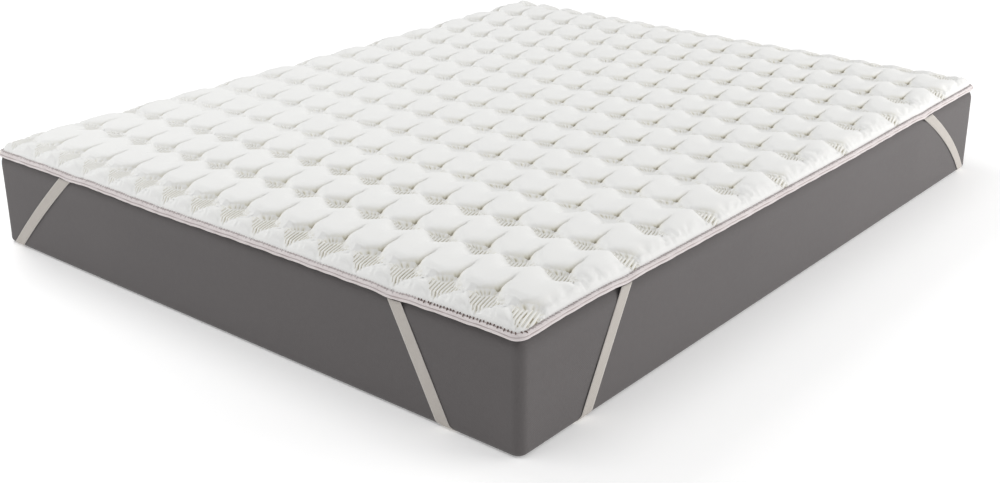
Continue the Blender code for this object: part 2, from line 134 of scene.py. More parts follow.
HALF_LENGTH = MATTRESS_LENGTH / 2
HALF_WIDTH = MATTRESS_WIDTH / 2
OUTER_X = HALF_LENGTH + OVERHANG
OUTER_Y = HALF_WIDTH + OVERHANG
OUTER_RADIUS = CORNER_RADIUS + OVERHANG
GRID_INSET = TAPE_END + TAPE_GAP
GRID_X = OUTER_X - GRID_INSET
GRID_Y = OUTER_Y - GRID_INSET
GRID_RADIUS = OUTER_RADIUS - GRID_INSET
PAD_BASE = MATTRESS_HEIGHT + PAD_GAP

# ---- the pad's fine mesh ----
FINE_BEFORE = 0.026  # where the fine lines start before a column of tufts
FINE_AFTER = 0.062  # and end after it
FINE_CELLS = 14
COARSE_CELLS = 6
COLUMNS = range(-2, 16)  # more than the pad has, so that the lines reach its edges
ROWS = range(-2, 36)  # the same across it
# where the lines run from one crease to the next, in half pitches
LINES_ACROSS = (0.0, 0.042, 0.115, 0.23, 0.365, 0.5, 0.635, 0.77, 0.885, 0.958)
LEAST_CELL = 0.004  # between the last of those lines, or a tuft's middle, and the grid's end
LEAN_REACH = 0.04  # from the long sides, where the lines take up the creases' lean
SWELL = 0.0035  # the furthest that the filling pushes the cloth out
SIMULATED_FRAMES = 12
# the settings of the cloth under the filling's pressure
FILLING = dict(
    quality=3, mass=0.1, tension_stiffness=12, compression_stiffness=12, shear_stiffness=4,
    bending_stiffness=0.02, vertex_group_mass="sewn", use_pressure=True, uniform_pressure_force=1.5,
    shrink_min=-0.06,
)

# ---- helpers ----


def smooth_step(low, high, value):
    t = np.clip((value - low) / (high - low), 0.0, 1.0)
    return t * t * (3 - 2 * t)


def dome(t):
    t = np.clip(t, 0.0, 1.0)
    return np.sqrt(1 - (1 - t) ** 2)


def chance(*numbers):
    """A settled pseudo-random number from 0 to 1 for these whole numbers."""
    value = 0.0
    for k, number in enumerate(numbers):
        value = value + number * (12.9898 + 65.233 * k)
    value = np.sin(value + 0.5) * 43758.5453
    return value - np.floor(value)


def grid_faces(rows, columns, wrap_columns=False, wrap_rows=False, start=0):
    """Quads of a grid of points that are numbered row by row."""
    index = start + np.arange(rows * columns).reshape(rows, columns)
    if wrap_columns:
        index = np.hstack([index, index[:, :1]])
    if wrap_rows:
        index = np.vstack([index, index[:1]])
    corners = (index[:-1, :-1], index[:-1, 1:], index[1:, 1:], index[1:, :-1])
    return np.stack(corners, axis=-1).reshape(-1, 4).tolist()


def fan_faces(ring, middle):
    """Triangles from a closed ring of points to the one in its middle."""
    return [[int(point), middle, int(after)] for point, after in zip(ring, np.roll(ring, -1))]


def tube_faces(stations, around):
    """Faces of a closed tube whose points are numbered ring by ring."""
    end = stations * around
    caps = [list(range(around)), list(range(end - around, end))]
    return grid_faces(stations, around, wrap_columns=True) + caps


def add_mesh(name, points, faces, mat, closed=True, triangles=False):
    """A new object. A closed one gets its faces pointing out, and cut into triangles if asked for."""
    mesh = bpy.data.meshes.new(name)
    mesh.from_pydata(np.asarray(points, float).reshape(-1, 3).tolist(), [], faces)
    if closed:
        bm = bmesh.new()
        bm.from_mesh(mesh)
        bmesh.ops.recalc_face_normals(bm, faces=bm.faces)
        if triangles:
            bmesh.ops.triangulate(bm, faces=bm.faces)
        bm.to_mesh(mesh)
        bm.free()
    mesh.shade_smooth()
    obj = bpy.data.objects.new(name, mesh)
    bpy.context.scene.collection.objects.link(obj)
    obj.data.materials.append(mat)
    return obj


def round_walk(half_x, half_y, radius, arc_steps, step):
    """Plan points round a rounded rectangle, anticlockwise from above, and the ways out there."""
    points, ways = [], []
    corners = ((1, 1, 0), (-1, 1, 90), (-1, -1, 180), (1, -1, 270))
    for number, (sign_x, sign_y, start) in enumerate(corners):
        middle = np.array([sign_x * (half_x - radius), sign_y * (half_y - radius)])
        for k in range(arc_steps + 1):
            angle = math.radians(start + 90 * k / arc_steps)
            way = np.array([math.cos(angle), math.sin(angle)])
            points.append(middle + radius * way)
            ways.append(way)
        next_x, next_y, _ = corners[(number + 1) % 4]
        end = np.array([next_x * (half_x - radius), next_y * (half_y - radius)]) + radius * way
        begin = points[-1]
        steps = int(np.linalg.norm(end - begin) / step)
        for k in range(1, steps):
            points.append(begin + (end - begin) * k / steps)
            ways.append(way)
    return np.array(points), np.array(ways)


def set_attribute(obj, name, values):
    layer = obj.data.attributes.new(name, "FLOAT", "POINT")
    layer.data.foreach_set("value", np.asarray(values, np.float32).ravel())


def read_vectors(mesh, kind):
    """The places ("co") or normals ("normal") of a mesh's points, as an array (n, 3)."""
    flat = np.empty(len(mesh.vertices) * 3, np.float32)
    mesh.vertices.foreach_get(kind, flat)
    return flat.reshape(-1, 3).astype(float)


def bell(x, y, middle_x, middle_y, reach):
    """1 in the middle, falling to next to nothing two reaches away."""
    away = np.hypot(x - middle_x, y - middle_y) / reach
    return np.exp(-away * away)


# ---- quilting ----


def column_of(x):
    place = (x - FIRST_COLUMN) / PILLOW_LENGTH
    column = np.floor(place)
    return column, place - column


def off_tuft(column, y):
    stagger = np.where(np.mod(column, 2) > 0.5, 0.5, 0.0)
    place = (y - FIRST_TUFT) / PILLOW_PITCH - stagger
    return (place - np.round(place)) * PILLOW_PITCH


def tail_side(column):
    return np.where(column == 0, EDGE_TAIL_SIDE, TUFT_TAIL_SIDE)


def nose_side(column):
    return np.where(column == 0, EDGE_NOSE_SIDE, TUFT_NOSE_SIDE)


def shift_of(column):
    return np.where(column == 0, EDGE_SHIFT, 0.0)


def tuft_reach(half_length, across):
    return half_length * np.maximum(0.0, 1 - np.abs(across) / TUFT_HALF_WIDTH)


def lean(x):
    """How far over to +Y the crease from the last column of tufts has come, back at 0 by the next."""
    _, along = column_of(x)
    return CREASE_LEAN * PILLOW_LENGTH * along * (1 - smooth_step(LEAN_START, LEAN_END, along))


def fullness(x, y):
    even = 1 - FLATTER * smooth_step(FLATTER_START, FLATTER_END, x)
    share = even * (1 - CROWN_SPREAD * (0.5 + 0.5 * np.sin(17.0 * x + 3.0) * np.sin(23.0 * y + 1.0)))
    for patch in FULL_PATCHES:
        share = share + patch["amount"] * bell(x, y, patch["x"], patch["y"], patch["reach"])
    return np.minimum(share, MOST_CROWN)


def slope(distance, length, across):
    joint = JOINT_CROWN * smooth_step(JOINT_START, 1.0, np.abs(across) / (PILLOW_PITCH / 2))
    return joint + (1 - joint) * dome(distance / length)


def crown(x, y):
    column, along = column_of(x)
    before = off_tuft(column, y)
    after = off_tuft(column + 1, y)
    to_line = (1 - along) * PILLOW_LENGTH - shift_of(column + 1)
    to_after = to_line - tuft_reach(tail_side(column + 1), after)
    tail = slope(to_after, TAIL_LENGTH, after)
    from_before = along * PILLOW_LENGTH + shift_of(column) - tuft_reach(nose_side(column), before)
    nose = slope(from_before, NOSE_LENGTH, before)
    fading = 1 - smooth_step(CREASE_START, CREASE_END, along)
    leaning = off_tuft(column, y - lean(x))
    crease = CREASE_DEPTH * fading * np.exp(-np.abs(leaning) / CREASE_SPREAD)
    inner = nose * tail * (1 - crease) * fullness(x, y)
    return np.where(column < 0, HEM_CROWN * tail, inner)


# ---- the rim ----


def past_corner(x, y):
    """How far past the nearest corner's middle points are along X and Y, and whether past in both."""
    corner_x = np.abs(x) - (OUTER_X - OUTER_RADIUS)
    corner_y = np.abs(y) - (OUTER_Y - OUTER_RADIUS)
    return corner_x, corner_y, (corner_x > 0) & (corner_y > 0)


def inset_of(x, y):
    corner_x, corner_y, in_corner = past_corner(x, y)
    straight = np.minimum(OUTER_X - np.abs(x), OUTER_Y - np.abs(y))
    return np.where(in_corner, OUTER_RADIUS - np.hypot(corner_x, corner_y), straight)


def outward(x, y):
    """Unit vectors (x, y) towards the nearest point of the outermost line."""
    corner_x, corner_y, in_corner = past_corner(x, y)
    reach = np.maximum(np.hypot(corner_x, corner_y), 1e-9)
    short_side = OUTER_X - np.abs(x) < OUTER_Y - np.abs(y)
    out_x = np.where(in_corner, corner_x / reach, np.where(short_side, 1.0, 0.0))
    out_y = np.where(in_corner, corner_y / reach, np.where(short_side, 0.0, 1.0))
    return np.copysign(out_x, x), np.copysign(out_y, y)


def strap_tops():
    places = []
    for strap in STRAPS.values():
        places.append((strap["x"] * OUTER_X, strap["y"] * (HALF_WIDTH - strap["short_top"])))
        places.append((strap["x"] * (HALF_LENGTH - strap["long_top"]), strap["y"] * OUTER_Y))
    return places


def rim_drop(x, y):
    drop = RIM_DROP + RIM_WANDER * np.sin(9.0 * x + 5.0 * y)
    for strap_x, strap_y in strap_tops():
        drop = drop + STRAP_DIP * bell(x, y, strap_x, strap_y, STRAP_DIP_REACH)
    for sag in RIM_SAGS:
        drop = drop + sag["depth"] * bell(x, y, sag["x"], sag["y"], sag["reach"])
    scallop = SCALLOP * np.cos(2 * np.pi * (y - FIRST_TUFT) / PILLOW_PITCH)
    return drop + np.where(OUTER_X - np.abs(x) < OUTER_RADIUS / 2, scallop, 0.0)


def rim_waver(x, y):
    return RIM_WAVER * (0.5 - 0.5 * np.cos(11.0 * x) * np.cos(13.0 * y))


def settle(x, y, height):
    """Points (n, 3) where the pad or its binding comes to rest, once the rim sinks and wanders."""
    inset = inset_of(x, y)
    out_x, out_y = outward(x, y)
    edge_x = x + out_x * inset
    edge_y = y + out_y * inset
    waver = rim_waver(edge_x, edge_y) * np.maximum(1 - inset / WAVER_REACH, 0.0)
    drop = rim_drop(edge_x, edge_y) * np.maximum(1 - inset / DROP_REACH, 0.0)
    return np.stack([x - out_x * waver, y - out_y * waver, height - drop], axis=-1)


def at_inset(x, y, inset, height):
    """The settled place at this inset beside points of the grid's outline."""
    out_x, out_y = outward(x, y)
    move = GRID_INSET - inset
    return settle(x + out_x * move, y + out_y * move, PAD_BASE + height)


def round_corner(x, y):
    """The grid's square corners drawn in to round ones."""
    corner_x, corner_y, in_corner = past_corner(x, y)
    share_x, share_y = corner_x / GRID_RADIUS, corner_y / GRID_RADIUS
    moved_x = OUTER_X - OUTER_RADIUS + GRID_RADIUS * share_x * np.sqrt(np.maximum(1 - share_y**2 / 2, 0))
    moved_y = OUTER_Y - OUTER_RADIUS + GRID_RADIUS * share_y * np.sqrt(np.maximum(1 - share_x**2 / 2, 0))
    return np.where(in_corner, np.copysign(moved_x, x), x), np.where(in_corner, np.copysign(moved_y, y), y)


# ---- materials ----


class Look:
    """A material, and the nodes that make its look."""

    def __init__(self, name, colour, roughness, sheen=0.0):
        self.mat = bpy.data.materials.new(name)
        self.mat.use_nodes = True
        self.tree = self.mat.node_tree
        self.shader = self.tree.nodes["Principled BSDF"]
        self.feed(self.shader, {
            "Base Color": colour, "Roughness": roughness, "Sheen Weight": sheen, "Sheen Roughness": 0.5,
            "Specular IOR Level": 0.25,
        })
        self.place = self.add("ShaderNodeTexCoord").outputs["Object"]

    def feed(self, node, inputs):
        """Gives a node's inputs plain numbers or colours, or links other nodes' outputs to them."""
        for key, value in inputs.items():
            if isinstance(value, (int, float)):
                node.inputs[key].default_value = value
            elif isinstance(value, tuple):
                node.inputs[key].default_value = (*value, 1.0)
            else:
                self.tree.links.new(value, node.inputs[key])

    def add(self, kind, inputs={}, **values):
        node = self.tree.nodes.new(kind)
        for key, value in values.items():
            setattr(node, key, value)
        self.feed(node, inputs)
        return node

    def noise(self, scale, detail=2.0):
        inputs = {"Scale": scale, "Detail": detail, "Vector": self.place}
        return self.add("ShaderNodeTexNoise", inputs).outputs["Fac"]

    def wave(self, scale, direction, distortion):
        inputs = {"Scale": scale, "Distortion": distortion, "Vector": self.place}
        node = self.add("ShaderNodeTexWave", inputs, wave_type="BANDS", bands_direction=direction)
        return node.outputs["Fac"]

    def attribute(self, name):
        return self.add("ShaderNodeAttribute", attribute_name=name).outputs["Fac"]

    def maths(self, operation, first, second=0.0):
        return self.add("ShaderNodeMath", {0: first, 1: second}, operation=operation).outputs["Value"]

    def spread(self, factor, low, high):
        inputs = {"To Min": low, "To Max": high, "Value": factor}
        return self.add("ShaderNodeMapRange", inputs).outputs["Result"]

    def mix(self, factor, first, second, blend="MIX"):
        inputs = {"Factor": factor, "A": first, "B": second}
        return self.add("ShaderNodeMix", inputs, data_type="RGBA", blend_type=blend).outputs["Result"]

    def ramp(self, factor, stops):
        """A colour for each level of the factor: stops are (level, colour)."""
        node = self.add("ShaderNodeValToRGB", {"Fac": factor})
        elements = node.color_ramp.elements
        for element, (level, colour) in zip(elements, (stops[0], stops[-1])):
            element.position = level
            element.color = (*colour, 1.0)
        for level, colour in stops[1:-1]:
            elements.new(level).color = (*colour, 1.0)
        return node.outputs["Color"]

    def bump(self, height, strength, distance):
        node = self.add("ShaderNodeBump", {"Strength": strength, "Distance": distance, "Height": height})
        self.feed(self.shader, {"Normal": node.outputs["Normal"]})

    def colour(self, value):
        self.feed(self.shader, {"Base Color": value})

    def roughness(self, value):
        self.feed(self.shader, {"Roughness": value})


# painted shade: what the cloth's own colour is multiplied by, from the open surface to the bottom of a
# crease
PAINTED_SHADE_TINTS = (
    (0.0, (1.0, 1.0, 1.0)),
    (0.35, (0.97, 0.955, 0.90)),
    (0.70, (0.80, 0.77, 0.66)),
    (1.0, (0.40, 0.36, 0.275)),
)


def painted_shade_amount(y):
    """How much of the painted shade in the folds there is: less of it towards the pad's +Y side."""
    return 1 - 0.6 * smooth_step(-0.35, 0.65, y)


def quilt_material():
    """Brushed white microfibre: a fine grain, and painted cream shade in its folds and creases."""
    n = Look("quilt_cloth", (0.80, 0.80, 0.785), 0.85, sheen=0.15)
    patches = n.mix(n.noise(9.0, 3.0), (0.795, 0.795, 0.785), (0.83, 0.83, 0.815))
    # painted shade in the creases, fold gaps and rib grooves, read from the per-point attribute
    folds = n.ramp(n.attribute("painted_shade"), PAINTED_SHADE_TINTS)
    n.colour(n.mix(1.0, patches, folds, "MULTIPLY"))
    n.roughness(n.spread(n.noise(60.0), 0.78, 0.95))
    weave = n.maths("ADD", n.wave(230.0, "X", 0.6), n.wave(260.0, "Y", 0.6))
    grain = n.maths("ADD", n.maths("MULTIPLY", weave, 0.25), n.noise(420.0, 4.0))
    n.bump(grain, 0.35, 0.0006)
    return n.mat


def tape_material():
    """Pale mauve woven tape, with its own fine ribs and painted shade in its folds."""
    n = Look("tape_cloth", (0.72, 0.66, 0.65), 0.75, sheen=0.2)
    worn = n.mix(n.noise(28.0, 3.0), (0.67, 0.605, 0.60), (0.81, 0.765, 0.76))
    # painted shade in the tape's folds, from the per-point attribute
    n.colour(n.mix(n.attribute("painted_shade"), worn, (0.31, 0.235, 0.23)))
    n.roughness(n.spread(n.noise(80.0), 0.65, 0.85))
    n.bump(n.maths("ADD", n.wave(330.0, "DIAGONAL", 0.4), n.noise(500.0, 3.0)), 0.5, 0.0006)
    return n.mat


ELASTIC_RIB = 0.0030  # from one rib of the elastic to the next
ELASTIC_CORDS = 9  # across it
ELASTIC_EDGE = 0.86  # where its firm edge starts, 1 being the very edge


def elastic_material():
    """Woven elastic: ribs across it, and firm paler edges."""
    n = Look("elastic_weave", (0.58, 0.55, 0.50), 0.78, sheen=0.1)
    ground = n.mix(n.noise(45.0, 3.0), (0.475, 0.44, 0.405), (0.54, 0.51, 0.475))
    along = n.maths("SINE", n.maths("MULTIPLY", n.attribute("run"), 2 * math.pi / ELASTIC_RIB))
    across = n.maths("SINE", n.maths("MULTIPLY", n.attribute("across"), ELASTIC_CORDS * math.pi))
    weave = n.maths("MULTIPLY", n.maths("ADD", n.maths("MULTIPLY", along, across), 1.0), 0.5)
    ribbed = n.mix(n.spread(weave, 0.0, 0.35), ground, (0.40, 0.37, 0.335))
    at_edge = n.maths("GREATER_THAN", n.maths("ABSOLUTE", n.attribute("across")), ELASTIC_EDGE)
    n.colour(n.mix(n.spread(at_edge, 0.0, 0.5), ribbed, (0.66, 0.63, 0.60)))
    n.roughness(n.spread(n.noise(90.0), 0.68, 0.88))
    n.bump(n.maths("ADD", weave, n.noise(380.0, 3.0)), 0.5, 0.0006)
    return n.mat


def knit_material():
    """The mattress's dark grey knitted cover."""
    n = Look("mattress_knit", (0.10, 0.094, 0.093), 0.8, sheen=0.15)
    broad = n.mix(n.noise(3.2, 2.0), (0.094, 0.087, 0.0875), (0.110, 0.1005, 0.1005))
    n.colour(n.mix(n.spread(n.noise(240.0, 3.0), 0.0, 0.35), broad, (0.132, 0.122, 0.1215)))
    n.roughness(n.spread(n.noise(70.0), 0.70, 0.88))
    knit = n.maths("MULTIPLY", n.wave(200.0, "Z", 0.8), n.wave(180.0, "DIAGONAL", 0.8))
    n.bump(n.maths("ADD", knit, n.noise(350.0, 3.0)), 0.35, 0.0006)
    return n.mat


def thread_material(name, colour):
    n = Look(name, colour, 0.7, sheen=0.1)
    darker = tuple(0.72 * part for part in colour)
    n.colour(n.mix(n.noise(300.0, 2.0), darker, colour))
    n.bump(n.noise(900.0, 2.0), 0.4, 0.0004)
    return n.mat


# ---- pad ----


def pad_lines(half, places):
    corner = half - GRID_RADIUS
    inner = [place for place in places if abs(place) < corner - LEAST_CELL]
    radius = half - corner
    ends = [corner + radius * share for share in (0.25, 0.5, 0.75, 1.0)]
    return np.array([-end for end in reversed(ends)] + [-corner] + sorted(inner) + [corner] + ends)


def lines_along():
    """X of the pad's grid lines: close together round each column of tufts and at the pillows' noses."""
    places = []
    fine = (FINE_BEFORE + FINE_AFTER) / FINE_CELLS
    coarse = (PILLOW_LENGTH - FINE_BEFORE - FINE_AFTER) / COARSE_CELLS
    for column in COLUMNS:
        start = FIRST_COLUMN + column * PILLOW_LENGTH
        places += [start - FINE_BEFORE + fine * k for k in range(FINE_CELLS)]
        places += [start + FINE_AFTER + coarse * k for k in range(COARSE_CELLS)]
    return pad_lines(GRID_X, places)


def lines_across():
    """Y of the grid lines where a column of tufts starts: close together beside the creases."""
    half_pitch = PILLOW_PITCH / 2
    places = [FIRST_TUFT + half_pitch * (k + share) for k in ROWS for share in LINES_ACROSS]
    return pad_lines(GRID_Y, places)


def lean_at(x, y):
    """How far the grid line through (x, y) has followed the creases: not at all at the pad's edges."""
    return lean(x) * smooth_step(0.0, LEAN_REACH, GRID_Y - np.abs(y))


def pad_thickness(x, y):
    quilted = VALLEY_THICKNESS + (CREST_THICKNESS - VALLEY_THICKNESS) * crown(x, y)
    share = dome((inset_of(x, y) - GRID_INSET) / RIM_RISE)
    return RIM_THICKNESS + (quilted - RIM_THICKNESS) * share


def outline_of(grid):
    """The points round a grid (rows, columns, ...), anticlockwise from above."""
    return np.concatenate([grid[0, :-1], grid[:-1, -1], grid[-1, :0:-1], grid[:0:-1, 0]])


HELD_TO = 0.85  # in a tuft's own reach: the cloth is sewn down up to here
FREE_FROM = 1.05  # and free from here on
RIM_HELD = 0.002  # the same from the grid's outline, in metres
RIM_FREE = 0.012
HELD_LEVELS = 4  # steps of how firmly it is held in between

# the painted shade on the pad, a cream darkening
FOOT_PLACE = 0.003  # how far up a pillow's nose its foot is darkest
FOOT_SPREAD = 0.007
FOOT_SHADE = 0.42
TIP_SPREAD = 0.006  # along X from the tuft's tip
TIP_WIDTH = 0.008  # and along Y
TIP_SHADE = 0.62
LINE_WIDTH = 0.0030  # of the shade in a crease
LINE_SHADE = 0.80
LINE_STARTS = (0.10, 0.17)  # where that comes, in pillow lengths from the tuft
LINE_ENDS = (0.18, 0.62)  # and where it goes


class Pad:
    """The pad's mesh, with its upper face as a grid that other pieces can be laid on."""

    def __init__(self, mat):
        self.xs = lines_along()
        self.ys = lines_across()
        x, y = np.meshgrid(self.xs, self.ys)
        y = y + lean_at(x, y) * (inset_of(x, y) > OUTER_RADIUS)
        x, y = round_corner(x, y)
        self.shape = x.shape
        start = settle(x, y, PAD_BASE + pad_thickness(x, y))
        edge_x, edge_y = outline_of(x), outline_of(y)
        count = len(edge_x)
        places = ((PAD_INSET, RIM_THICKNESS), (PAD_INSET, 0.0), (BASE_INSET, 0.0))
        rings = [at_inset(edge_x, edge_y, inset, height) for inset, height in places]
        rings[-1][:, 2] = PAD_BASE
        points = np.concatenate([start.reshape(-1, 3), *rings, [[0.0, 0.0, PAD_BASE]]])
        self.top = x.size
        faces = grid_faces(*self.shape)
        around = outline_of(np.arange(self.top).reshape(self.shape))
        loops = [around] + [self.top + k * count + np.arange(count) for k in range(len(rings))]
        for low, high in zip(loops, loops[1:]):
            after_low, after_high = np.roll(low, -1), np.roll(high, -1)
            faces += np.stack([low, high, after_high, after_low], axis=-1).tolist()
        faces += fan_faces(loops[-1], len(points) - 1)
        self.obj = add_mesh("quilt_pad", points, faces, mat)
        self.start = points
        self.grid_x, self.grid_y = x, y

    def held(self):
        """How firmly each point is sewn down, from 0, free, to 1, held."""
        x, y = self.grid_x, self.grid_y
        column, along = column_of(x)
        nearest = np.where(along > 0.5, column + 1, column)
        across = off_tuft(nearest, y)
        past = x - FIRST_COLUMN - nearest * PILLOW_LENGTH + shift_of(nearest)
        away = np.abs(past) / np.where(past > 0, nose_side(nearest), tail_side(nearest))
        in_tuft = away + np.abs(across) / TUFT_HALF_WIDTH
        tuft = 1 - smooth_step(HELD_TO, FREE_FROM, in_tuft)
        rim = 1 - smooth_step(GRID_INSET + RIM_HELD, GRID_INSET + RIM_FREE, inset_of(x, y))
        held = np.ones(len(self.start))
        held[: self.top] = np.maximum(tuft, rim).ravel()
        return held

    def inflate(self):
        """Fills the sewn pad: its cloth swells between the tufts under pressure and wrinkles there."""
        held = self.held()
        obj = self.obj
        group = obj.vertex_groups.new(name="sewn")
        for level in range(1, HELD_LEVELS + 1):
            chosen = np.nonzero(np.round(held * HELD_LEVELS) == level)[0]
            group.add(chosen.tolist(), level / HELD_LEVELS, "REPLACE")
        cloth = obj.modifiers.new("filling", "CLOTH")
        for key, value in FILLING.items():
            setattr(cloth.settings, key, value)
        cloth.settings.effector_weights.gravity = 0
        cloth.collision_settings.use_collision = False
        cloth.point_cache.frame_start = 1
        cloth.point_cache.frame_end = SIMULATED_FRAMES
        for number in range(1, SIMULATED_FRAMES + 1):
            bpy.context.scene.frame_set(number)
        shown = obj.evaluated_get(bpy.context.evaluated_depsgraph_get())
        moved = read_vectors(shown.data, "co") - self.start
        obj.modifiers.remove(cloth)
        obj.vertex_groups.remove(group)
        bpy.context.scene.frame_set(1)
        length = np.linalg.norm(moved, axis=1, keepdims=True)
        limit = SWELL * (1 - held[:, None])
        moved *= limit * np.tanh(length / np.maximum(limit, 1e-6)) / np.maximum(length, 1e-9)
        obj.data.vertices.foreach_set("co", (self.start + moved).astype(np.float32).ravel())
        obj.data.update()

    def read(self):
        """Takes the finished upper face and its normals, for pieces that lie on it."""
        points, normals = (read_vectors(self.obj.data, kind) for kind in ("co", "normal"))
        self.points = points[: self.top].reshape(*self.shape, 3)
        self.normals = normals[: self.top].reshape(*self.shape, 3)

    def lay(self, x, y, lift):
        """Points at these places of the sewn pattern, lifted off the pad's upper face by that much."""
        y = y - lean_at(x, y)
        column = np.clip(np.searchsorted(self.xs, x) - 1, 0, len(self.xs) - 2)
        row = np.clip(np.searchsorted(self.ys, y) - 1, 0, len(self.ys) - 2)
        share_x = (x - self.xs[column]) / (self.xs[column + 1] - self.xs[column])
        share_y = (y - self.ys[row]) / (self.ys[row + 1] - self.ys[row])
        share_x, share_y = share_x[..., None], share_y[..., None]

        def blend(values):
            low = values[row, column] * (1 - share_x) + values[row, column + 1] * share_x
            high = values[row + 1, column] * (1 - share_x) + values[row + 1, column + 1] * share_x
            return low * (1 - share_y) + high * share_y

        normal = blend(self.normals)
        normal = normal / np.linalg.norm(normal, axis=-1, keepdims=True)
        return blend(self.points) + normal * np.asarray(lift)[..., None]

    def shade(self):
        """Paints cream shade into the creases and the feet of the noses, darkening the cloth's colour
        there.
        """
        x, y = self.grid_x, self.grid_y
        column, along = column_of(x)
        before = off_tuft(column, y)
        leaning = off_tuft(column, y - lean(x))
        foot = along * PILLOW_LENGTH + shift_of(column) - tuft_reach(nose_side(column), before)
        lit_side = smooth_step(-0.010, 0.004, before)  # the painted shade goes on a nose's +Y side alone
        in_middle = 1 - smooth_step(0.4, 0.9, np.abs(before) / (PILLOW_PITCH / 2))
        near_foot = np.exp(-((foot - FOOT_PLACE) / FOOT_SPREAD) ** 2) * in_middle * lit_side
        near_tip = np.exp(-((foot - FOOT_PLACE) / TIP_SPREAD) ** 2 - (before / TIP_WIDTH) ** 2)
        line = np.exp(-np.abs(leaning) / LINE_WIDTH) * (1 - smooth_step(*LINE_ENDS, along))
        line = line * smooth_step(*LINE_STARTS, along)
        marked = np.clip(FOOT_SHADE * near_foot + TIP_SHADE * near_tip + LINE_SHADE * line, 0.0, 1.0)
        marked = marked * smooth_step(0.02, 0.05, inset_of(x, y))
        painted_shade = np.zeros(len(self.start))
        painted_shade[: self.top] = np.where(column < 0, 0.0, marked * painted_shade_amount(y)).ravel()
        set_attribute(self.obj, "painted_shade", painted_shade)


EDGE_MARGIN = 0.0005  # pieces laid on the pad keep this far inside its grid


class Laid:
    """A piece that lies on the pad, collected row by row."""

    def __init__(self, pad):
        self.pad = pad
        self.points, self.outsides, self.cavities, self.faces = [], [], [], []

    def add_row(self, x, y, lift, painted_shade):
        """Points that high over the pad, brought in to its grid where they lie outside it."""
        reach_x, reach_y = GRID_X - EDGE_MARGIN, GRID_Y - EDGE_MARGIN
        self.outsides.append((np.abs(x) > reach_x) | (np.abs(y) > reach_y))
        self.points.append(self.pad.lay(np.clip(x, -reach_x, reach_x), np.clip(y, -reach_y, reach_y), lift))
        self.cavities.append(painted_shade)

    def make(self, name, mat):
        """The object, with the faces that have a corner on the pad's grid."""
        outside = np.concatenate(self.outsides)
        faces = [face for face in self.faces if not all(outside[k] for k in face)]
        obj = add_mesh(name, np.concatenate(self.points), faces, mat, closed=False)
        set_attribute(obj, "painted_shade", np.concatenate(self.cavities))
        return obj


def tufts():
    """(column, number, x, y) of every tuft that is whole on the pad."""
    found = []
    for column in COLUMNS:
        x = FIRST_COLUMN + column * PILLOW_LENGTH - float(shift_of(column))
        if column < 0 or x > GRID_X - TUFT_TAIL_SIDE:
            continue
        stagger = 0.5 if column % 2 else 0.0
        for number in ROWS:
            y = FIRST_TUFT + (number + stagger) * PILLOW_PITCH
            if abs(y) < GRID_Y - LEAST_CELL:
                found.append((column, number, x, y))
    return found


EDGE_SAMPLES = (24, 24, 7, 7)  # round a tuft, along its four sides: the two before a pillow's nose are fine
FOLD_RINGS = (0.50, 0.74, 0.87, 0.97, 1.07, 1.17)  # of a tuft's folds, in its own reach
FOLDS_A_SIDE = 4.6  # the least there are along a tuft's side
FOLD_HEIGHT = 0.0034
FOLD_SHARPNESS = 2.2  # power of a fold's section: 2 would be a parabola
TAIL_FOLDS = 0.3  # share of that height on the two sides at a pillow's tail
LAID = 0.0004  # how far the pieces laid on the pad stand off it
FOLD_DIP = 0.0007  # how far a fold's outer end sinks into the pad
# how dark the painted shade between the folds gets
GATHER_SHADE = 0.85


def fold_pattern():
    """For the points round a tuft: direction as shares of its half sizes, place along its side, side."""
    corners = [(0.0, 1.0), (1.0, 0.0), (0.0, -1.0), (-1.0, 0.0)]
    shares, alongs, sides = [], [], []
    for side, samples in enumerate(EDGE_SAMPLES):
        start, end = np.array(corners[side]), np.array(corners[(side + 1) % 4])
        for k in range(samples):
            t = k / samples
            shares.append(start * (1 - t) + end * t)
            alongs.append(t)
            sides.append(side)
    return np.array(shares), np.array(alongs), np.array(sides)


def make_folds(pad, mat):
    """The gathers round every tuft: small folds of the cloth, pinched where the stitching holds it."""
    shares, alongs, sides = fold_pattern()
    rings = len(FOLD_RINGS) * len(shares)
    laid = Laid(pad)
    for index, (column, number, x, y) in enumerate(tufts()):
        half_length = np.where(shares[:, 0] > 0, float(nose_side(column)), float(tail_side(column)))
        drift = 0.35 * np.sin(2 * np.pi * alongs + 6.3 * chance(column, number))
        folds = FOLDS_A_SIDE + chance(number, column, 3)
        phase = folds * alongs + drift + chance(column, number, 7)
        part = phase - np.floor(phase)
        ridge = 1 - np.abs(2 * part - 1) ** FOLD_SHARPNESS
        size = np.where(sides < 2, 1.0, 0.0 if column == 0 else TAIL_FOLDS)
        size = size * np.sin(np.pi * np.clip(alongs, 0.04, 0.96)) ** 0.5
        uneven = 0.7 + 0.6 * chance(column, number, np.floor(phase) + 10 * sides)
        for reach in FOLD_RINGS:
            strength = smooth_step(0.55, 0.90, reach) * (1 - smooth_step(0.98, 1.16, reach))
            dip = -FOLD_DIP * smooth_step(1.02, 1.17, reach)
            lift = LAID + dip + FOLD_HEIGHT * strength * size * uneven * ridge
            at_x = x + shares[:, 0] * half_length * reach
            at_y = y + shares[:, 1] * TUFT_HALF_WIDTH * reach
            # painted shade in the gaps between the folds: darkest on the side that faces +Y, and near the
            # pad's end
            gaps = (1 - ridge) * strength * size * np.where(sides == 0, 1.0, 0.6)
            gaps = gaps * (1.2 if column < 4 else 0.9)
            shade = np.clip(gaps + 0.1 * strength * (sides == 0), 0, 1)
            laid.add_row(at_x, at_y, lift, shade * GATHER_SHADE * float(painted_shade_amount(y)))
        laid.add_row(*np.array([[x], [y], [LAID], [0.0]]))
        start = index * (rings + 1)
        laid.faces += grid_faces(len(FOLD_RINGS), len(shares), wrap_columns=True, start=start)
        laid.faces += fan_faces(start + np.arange(len(shares)), start + rings)
    return laid.make("tuft_gathers", mat)


